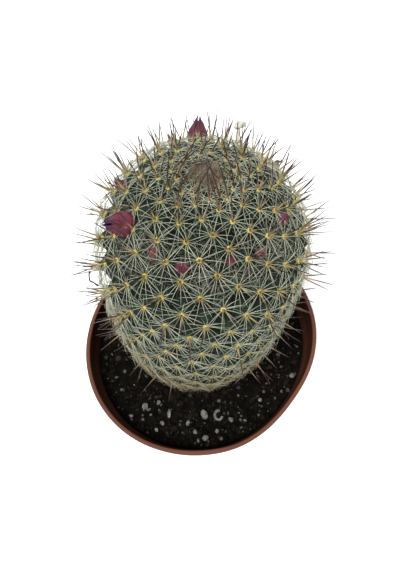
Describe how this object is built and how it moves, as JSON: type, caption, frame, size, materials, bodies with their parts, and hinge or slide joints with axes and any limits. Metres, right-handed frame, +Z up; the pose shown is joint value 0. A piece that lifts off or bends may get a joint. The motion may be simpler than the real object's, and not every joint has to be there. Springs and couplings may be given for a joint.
{
  "type": "potted round cactus",
  "caption": "Round pincushion cactus with spiralling tubercles and a ring of crimson buds, standing in potting mix in a thin terracotta-brown plastic pot.",
  "frame": {"origin": "on the surface the pot stands on, under the middle of the pot", "axes": "+Z up; +X to the right and +Y away from the side that carries the large bud to the left; the stem leans a little towards +Y"},
  "size_m": [0.0856, 0.0851, 0.1542],
  "materials": {
    "pot_plastic": "thin moulded plastic, matt, terracotta brown",
    "potting_mix": "crumbly composted bark and peat, near black",
    "cactus_skin": "dull grey-green waxy skin under a web of spines",
    "crown_wool": "short matted beige wool",
    "flower_petal": "closed crimson petals with a faint sheen",
    "dry_petal": "papery dried petals, pinkish brown",
    "dry_husk": "pale papery husk",
    "dry_scrap": "dark brittle scrap",
    "perlite": "white popped perlite, chalky"
  },
  "bodies": {
    "root": {"pot": "pot_plastic", "potting_soil": "potting_mix", "cactus_stem": "cactus_skin", "crown_wool": "crown_wool", "flower_bud_large": "flower_petal", "flower_bud_back": "flower_petal", "flower_bud_side": "flower_petal", "flower_bud_front": "flower_petal", "flower_bud_front_small": "flower_petal", "flower_bud_streaked": "flower_petal", "flower_bud_right": "flower_petal", "flower_bud_dull": "flower_petal", "spent_flower_right": "dry_petal", "spent_flower_back": "dry_petal", "dry_husk": "dry_husk", "dry_scrap": "dry_scrap", "perlite_grain_01": "perlite", "perlite_grain_02": "perlite", "perlite_grain_03": "perlite", "perlite_grain_04": "perlite", "perlite_grain_05": "perlite", "perlite_grain_06": "perlite", "perlite_grain_07": "perlite", "perlite_grain_08": "perlite", "perlite_grain_09": "perlite", "perlite_grain_10": "perlite", "perlite_grain_11": "perlite", "perlite_grain_12": "perlite", "perlite_grain_13": "perlite", "perlite_grain_14": "perlite", "perlite_grain_15": "perlite", "perlite_grain_16": "perlite", "perlite_grain_17": "perlite", "perlite_grain_18": "perlite", "perlite_ring": "perlite"}
  },
  "joints": []
}
